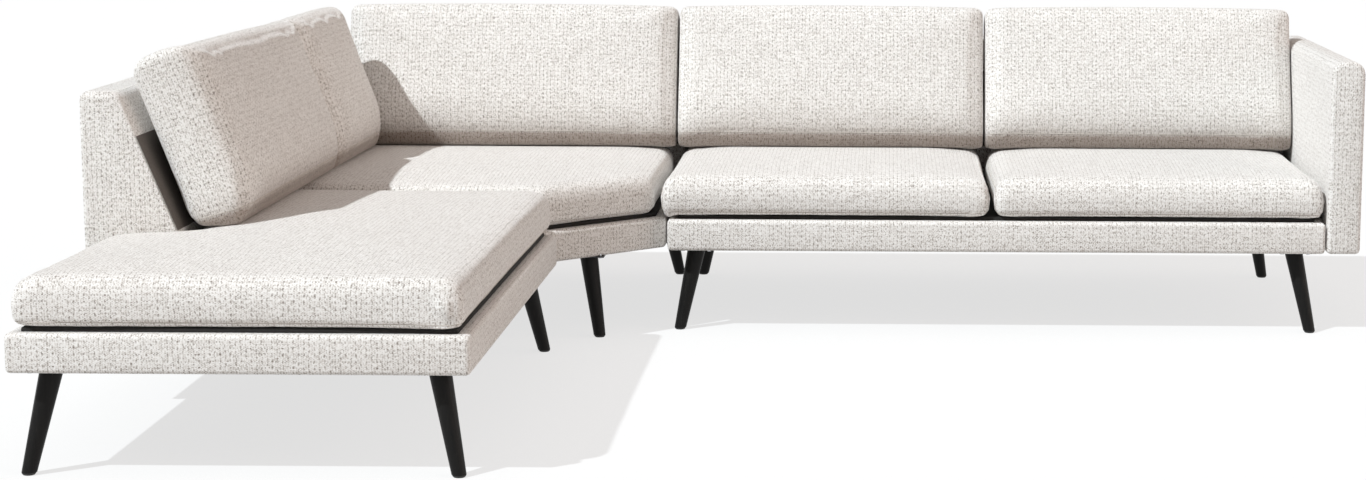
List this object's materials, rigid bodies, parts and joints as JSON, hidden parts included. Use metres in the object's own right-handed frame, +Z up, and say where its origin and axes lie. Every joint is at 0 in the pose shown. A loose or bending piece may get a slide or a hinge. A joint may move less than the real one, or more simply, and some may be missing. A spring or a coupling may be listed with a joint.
{
  "type": "corner sofa",
  "caption": "Modular corner sofa: open-end seat, angled corner and armed straight section, with loose seat and back cushions on low padded bases and splayed dark legs.",
  "frame": {"origin": "on the floor, at the middle of the whole sofa's plan", "axes": "+X to the right along the rear wall, +Y from the viewer towards the rear wall, +Z up"},
  "size_m": [2.905, 2.485, 0.7818],
  "materials": {
    "weave": "matte",
    "weave_shade": "matte",
    "lining": "matte",
    "felt": "matte",
    "dust_cloth": "matte",
    "foam": "matte",
    "pine": "matte",
    "black_stain": "satin",
    "black_steel": "satin",
    "spring_steel": "satin",
    "zinc": "satin",
    "glide": "matte"
  },
  "bodies": {
    "base": {"open_end_base_cover": "weave", "open_end_rails": "pine", "open_end_springs": "spring_steel", "open_end_deck": "felt", "open_end_dust_cover": "dust_cloth", "open_end_back_frame": "pine", "open_end_back_cover": "weave", "open_end_lining": "lining", "open_end_legs": "black_stain", "open_end_glides": "glide", "open_end_leg_plates": "black_steel", "open_end_leg_fixings": "zinc", "corner_base_cover": "weave_shade", "corner_rails": "pine", "corner_springs": "spring_steel", "corner_deck": "felt", "corner_dust_cover": "dust_cloth", "corner_back_frame": "pine", "corner_back_cover": "weave_shade", "corner_lining": "lining", "corner_legs": "black_stain", "corner_glides": "glide", "corner_leg_plates": "black_steel", "corner_leg_fixings": "zinc", "two_seat_base_cover": "weave", "two_seat_rails": "pine", "two_seat_springs": "spring_steel", "two_seat_deck": "felt", "two_seat_dust_cover": "dust_cloth", "two_seat_back_frame": "pine", "two_seat_back_cover": "weave", "two_seat_lining": "lining", "two_seat_legs": "black_stain", "two_seat_glides": "glide", "two_seat_leg_plates": "black_steel", "two_seat_leg_fixings": "zinc", "arm_cover": "weave", "arm_frame": "pine", "frame_bolts": "zinc", "module_links": "black_steel", "link_screws": "zinc"},
    "open_end_seat": {"open_end_seat_cushion": "weave", "open_end_seat_foam": "foam"},
    "corner_seat": {"corner_seat_cushion": "weave", "corner_seat_foam": "foam"},
    "left_seat": {"left_seat_cushion": "weave", "left_seat_foam": "foam"},
    "right_seat": {"right_seat_cushion": "weave", "right_seat_foam": "foam"},
    "side_back": {"side_back_cushion": "weave", "side_back_foam": "foam"},
    "short_back": {"short_back_cushion": "weave", "short_back_foam": "foam"},
    "rear_back": {"rear_back_cushion": "weave", "rear_back_foam": "foam"},
    "left_back": {"left_back_cushion": "weave", "left_back_foam": "foam"},
    "right_back": {"right_back_cushion": "weave", "right_back_foam": "foam"}
  },
  "joints": [
    {"name": "corner_seat_lift", "type": "slide", "parent": "base", "child": "corner_seat", "axis": [0, 0, 1], "range_m": [0, 0.25]},
    {"name": "open_end_seat_pull", "type": "slide", "parent": "base", "child": "open_end_seat", "axis": [0, -1, 0], "range_m": [0, 0.25]},
    {"name": "left_seat_pull", "type": "slide", "parent": "base", "child": "left_seat", "axis": [0, -1, 0], "range_m": [0, 0.25]},
    {"name": "right_seat_pull", "type": "slide", "parent": "base", "child": "right_seat", "axis": [0, -1, 0], "range_m": [0, 0.25]},
    {"name": "side_back_lift", "type": "slide", "parent": "corner_seat", "child": "side_back", "axis": [0, 0, 1], "range_m": [0, 0.25]},
    {"name": "short_back_lift", "type": "slide", "parent": "corner_seat", "child": "short_back", "axis": [0, 0, 1], "range_m": [0, 0.25]},
    {"name": "rear_back_lift", "type": "slide", "parent": "corner_seat", "child": "rear_back", "axis": [0, 0, 1], "range_m": [0, 0.25]},
    {"name": "left_back_lift", "type": "slide", "parent": "base", "child": "left_back", "axis": [0, 0, 1], "range_m": [0, 0.25]},
    {"name": "right_back_lift", "type": "slide", "parent": "base", "child": "right_back", "axis": [0, 0, 1], "range_m": [0, 0.25]}
  ]
}
